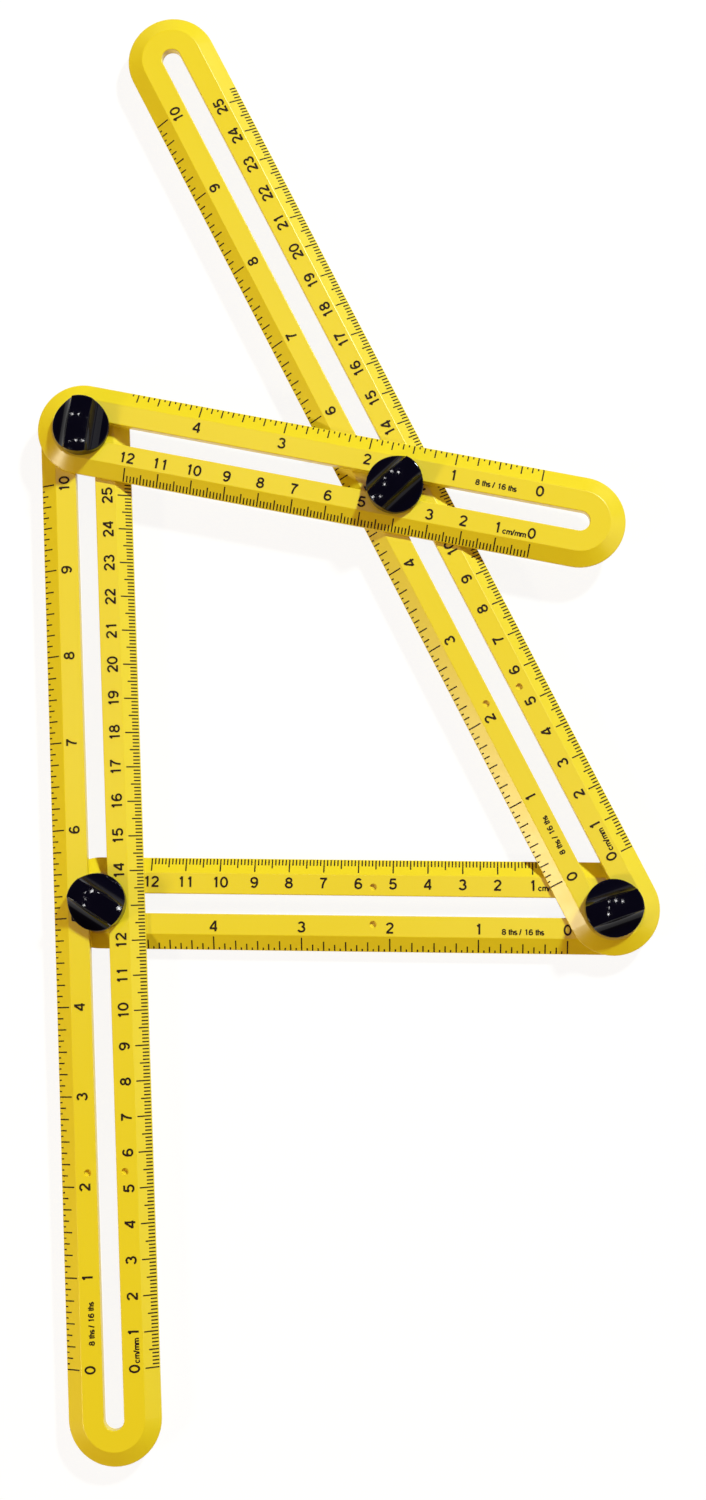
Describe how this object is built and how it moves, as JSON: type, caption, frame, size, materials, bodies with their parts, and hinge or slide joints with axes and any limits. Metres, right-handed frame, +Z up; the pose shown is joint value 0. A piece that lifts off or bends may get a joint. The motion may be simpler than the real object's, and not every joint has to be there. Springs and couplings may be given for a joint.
{
  "type": "multi-angle folding ruler",
  "caption": "Four slotted rulers held in an adjustable frame by clamp knobs, for copying angles and outlines.",
  "frame": {"origin": "lower left clamp's axis, on the flat face of its button, which the ruler rests on", "axes": "+Y up along the left long arm, +Z up out of the printed faces, +X to the right, towards the lower right clamp"},
  "size_m": [0.1741, 0.4219, 0.0206],
  "materials": {
    "yellow_plastic": "smooth moulded ABS, golden yellow, with dark printed scales",
    "knob_plastic": "glossy black moulded plastic",
    "button_plastic": "fine satin black moulded plastic",
    "brass_insert": "turned brass",
    "bright_steel": "bright stamped steel",
    "zinc_steel": "zinc-plated steel",
    "scale_ink": "dark brown-black printed marks and numbers"
  },
  "bodies": {
    "base": {"lower_short_arm": "yellow_plastic", "lower_left_bolt": "zinc_steel", "lower_left_button": "button_plastic"},
    "lower_right_pin": {"lower_right_bolt": "zinc_steel", "lower_right_button": "button_plastic"},
    "left_arm_pivot": {"lower_left_washer": "bright_steel"},
    "left_arm": {"left_long_arm": "yellow_plastic"},
    "upper_left_pin": {"upper_left_bolt": "zinc_steel", "upper_left_button": "button_plastic", "upper_left_washer": "bright_steel"},
    "upper_arm": {"upper_short_arm": "yellow_plastic"},
    "upper_right_carriage": {"upper_right_washer": "bright_steel"},
    "upper_right_pin": {"upper_right_bolt": "zinc_steel", "upper_right_button": "button_plastic"},
    "diagonal_pivot": {"lower_right_washer": "bright_steel"},
    "diagonal_arm": {"diagonal_long_arm": "yellow_plastic"},
    "lower_left_nut": {"lower_left_nut": "brass_insert"},
    "lower_left_knob": {"lower_left_knob": "knob_plastic"},
    "upper_left_nut": {"upper_left_nut": "brass_insert"},
    "upper_left_knob": {"upper_left_knob": "knob_plastic"},
    "upper_right_nut": {"upper_right_nut": "brass_insert"},
    "upper_right_knob": {"upper_right_knob": "knob_plastic"},
    "lower_right_nut": {"lower_right_nut": "brass_insert"},
    "lower_right_knob": {"lower_right_knob": "knob_plastic"}
  },
  "joints": [
    {"name": "spread", "type": "slide", "parent": "base", "child": "lower_right_pin", "axis": [-0.9986, 0.0537, 0], "range_m": [0, 0.05]},
    {"name": "fold", "type": "hinge", "parent": "base", "child": "left_arm_pivot", "pos_m": [0, 0, 0], "axis": [0, 0, 1], "range_deg": [-38, 75]},
    {"name": "left_arm_slide", "type": "slide", "parent": "left_arm_pivot", "child": "left_arm", "axis": [0, 1, 0], "range_m": [0, 0.145]},
    {"name": "upper_left_pin_slide", "type": "slide", "parent": "left_arm_pivot", "child": "upper_left_pin", "axis": [0, -1, 0], "range_m": [0, 0.047]},
    {"name": "upper_arm_slide", "type": "slide", "parent": "upper_left_pin", "child": "upper_arm", "axis": [-0.9713, 0.2377, 0], "range_m": [0, 0.054]},
    {"name": "upper_right_pin_slide", "type": "slide", "parent": "left_arm_pivot", "child": "upper_right_carriage", "axis": [-0.6151, -0.7885, 0], "range_m": [0, 0.05]},
    {"name": "upper_right_pin_turn", "type": "hinge", "parent": "upper_right_carriage", "child": "upper_right_pin", "pos_m": [0.09072, 0.1163, 0], "axis": [0, 0, 1], "range_deg": [-37.6, 19.1]},
    {"name": "diagonal_fold", "type": "hinge", "parent": "lower_right_pin", "child": "diagonal_pivot", "pos_m": [0.14729, -0.00793, 0], "axis": [0, 0, 1], "range_deg": [-19.1, 37.6]},
    {"name": "diagonal_arm_slide", "type": "slide", "parent": "diagonal_pivot", "child": "diagonal_arm", "axis": [-0.4144, 0.9101, 0], "range_m": [-0.147, 0]},
    {"name": "lower_left_knob_turn", "type": "hinge", "parent": "base", "child": "lower_left_nut", "pos_m": [0, 0, 0], "axis": [0, 0, 1], "range_deg": [0, 720.5]},
    {"name": "lower_left_knob_rise", "type": "slide", "parent": "lower_left_nut", "child": "lower_left_knob", "axis": [0, 0, 1], "range_m": [0, 0.0016]},
    {"name": "upper_left_knob_turn", "type": "hinge", "parent": "upper_left_pin", "child": "upper_left_nut", "pos_m": [0, 0.1385, 0], "axis": [0, 0, 1], "range_deg": [0, 720.5]},
    {"name": "upper_left_knob_rise", "type": "slide", "parent": "upper_left_nut", "child": "upper_left_knob", "axis": [0, 0, 1], "range_m": [0, 0.0016]},
    {"name": "upper_right_knob_turn", "type": "hinge", "parent": "upper_right_pin", "child": "upper_right_nut", "pos_m": [0.09072, 0.1163, 0], "axis": [0, 0, 1], "range_deg": [0, 720.5]},
    {"name": "upper_right_knob_rise", "type": "slide", "parent": "upper_right_nut", "child": "upper_right_knob", "axis": [0, 0, 1], "range_m": [0, 0.0016]},
    {"name": "lower_right_knob_turn", "type": "hinge", "parent": "lower_right_pin", "child": "lower_right_nut", "pos_m": [0.14729, -0.00793, 0], "axis": [0, 0, 1], "range_deg": [0, 720.5]},
    {"name": "lower_right_knob_rise", "type": "slide", "parent": "lower_right_nut", "child": "lower_right_knob", "axis": [0, 0, 1], "range_m": [0, 0.0016]}
  ],
  "couplings": [
    {"joint": "upper_left_pin_slide", "follows": "spread", "ratio": 0.93898},
    {"joint": "upper_right_pin_slide", "follows": "spread", "ratio": 1},
    {"joint": "upper_right_pin_turn", "follows": "fold", "ratio": -0.5},
    {"joint": "diagonal_fold", "follows": "fold", "ratio": 0.5},
    {"joint": "lower_left_knob_turn", "follows": "lower_left_knob_rise", "rad_per_m": 7854},
    {"joint": "upper_left_knob_turn", "follows": "upper_left_knob_rise", "rad_per_m": 7854},
    {"joint": "upper_right_knob_turn", "follows": "upper_right_knob_rise", "rad_per_m": 7854},
    {"joint": "lower_right_knob_turn", "follows": "lower_right_knob_rise", "rad_per_m": 7854}
  ]
}
